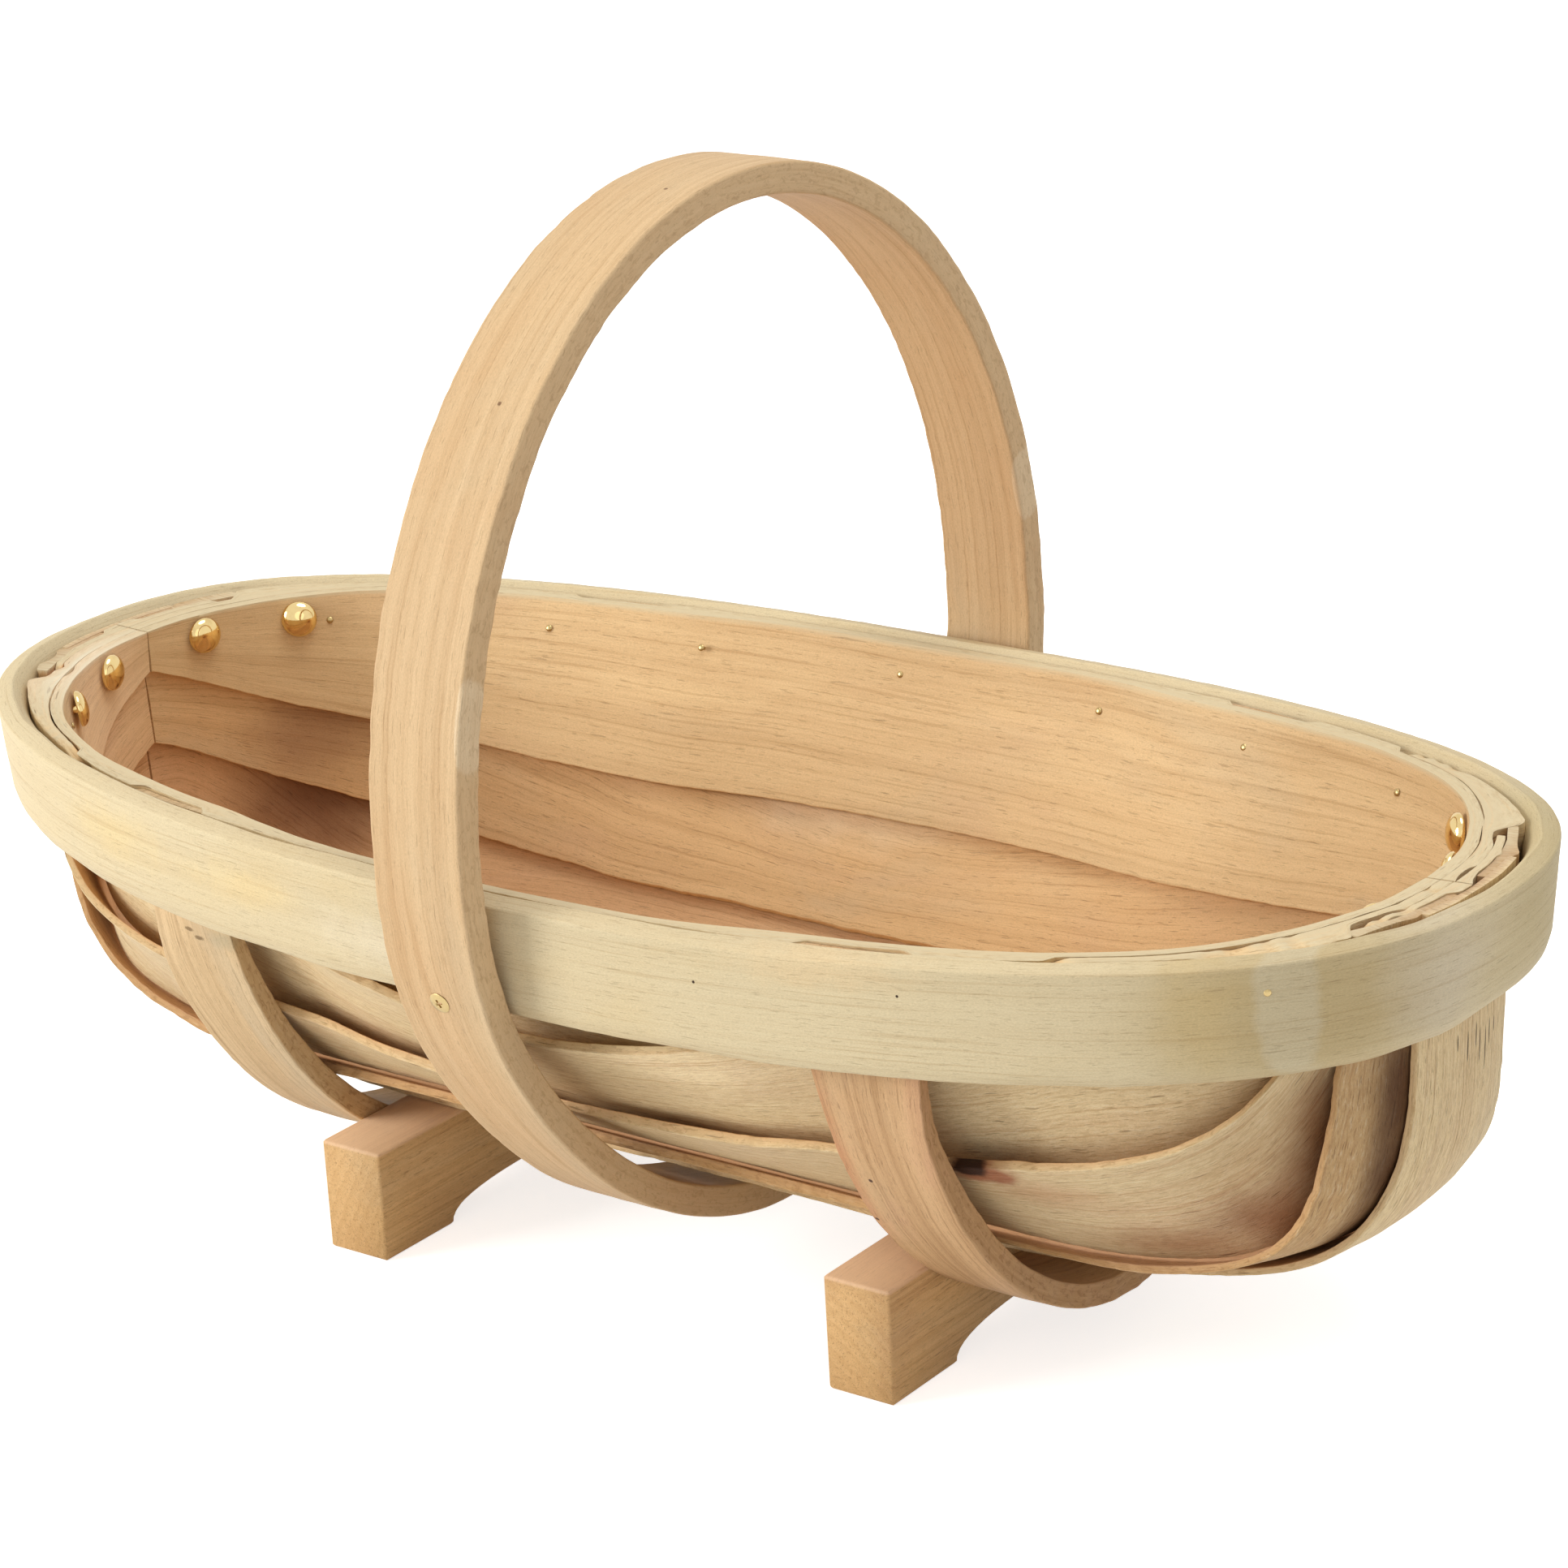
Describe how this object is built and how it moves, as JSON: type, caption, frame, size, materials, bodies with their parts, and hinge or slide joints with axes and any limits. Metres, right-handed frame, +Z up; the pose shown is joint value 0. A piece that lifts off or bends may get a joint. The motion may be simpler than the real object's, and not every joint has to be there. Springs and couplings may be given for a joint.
{
  "type": "garden trug",
  "caption": "Boat-shaped garden basket of overlapping split-wood boards in a bent wooden rim, with a tall hoop handle, two bent straps and two block feet.",
  "frame": {"origin": "on the floor under the middle of the trug", "axes": "+X along the trug, +Y across it, +Z up"},
  "size_m": [0.5498, 0.303, 0.3498],
  "materials": {
    "rim_wood": "bare cream wood, split and sanded",
    "handle_wood": "bare blond wood, shaved smooth",
    "strap_wood": "bare bent wood with rough edges",
    "board_wood": "bare split-wood boards",
    "foot_wood": "bare sawn wood",
    "brass": "polished brass"
  },
  "bodies": {
    "root": {"rim": "rim_wood", "handle": "handle_wood", "strap_left": "strap_wood", "strap_right": "strap_wood", "foot_left": "foot_wood", "foot_right": "foot_wood", "board_centre": "board_wood", "board_bilge_near": "board_wood", "board_bilge_far": "board_wood", "board_lower_near": "board_wood", "board_lower_far": "board_wood", "board_upper_near": "board_wood", "board_upper_far": "board_wood", "board_side_near": "board_wood", "board_side_far": "board_wood", "handle_screw_near": "brass", "handle_screw_far": "brass", "tack_near_1": "brass", "tack_near_2": "brass", "tack_near_3": "brass", "tack_near_4": "brass", "tack_far_1": "brass", "tack_far_2": "brass", "tack_far_3": "brass", "tack_far_4": "brass", "pin_near_1": "brass", "pin_near_2": "brass", "pin_near_3": "brass", "pin_near_4": "brass", "pin_near_5": "brass", "pin_near_6": "brass", "pin_near_7": "brass", "pin_far_1": "brass", "pin_far_2": "brass", "pin_far_3": "brass", "pin_far_4": "brass", "pin_far_5": "brass", "pin_far_6": "brass", "pin_far_7": "brass"}
  },
  "joints": []
}
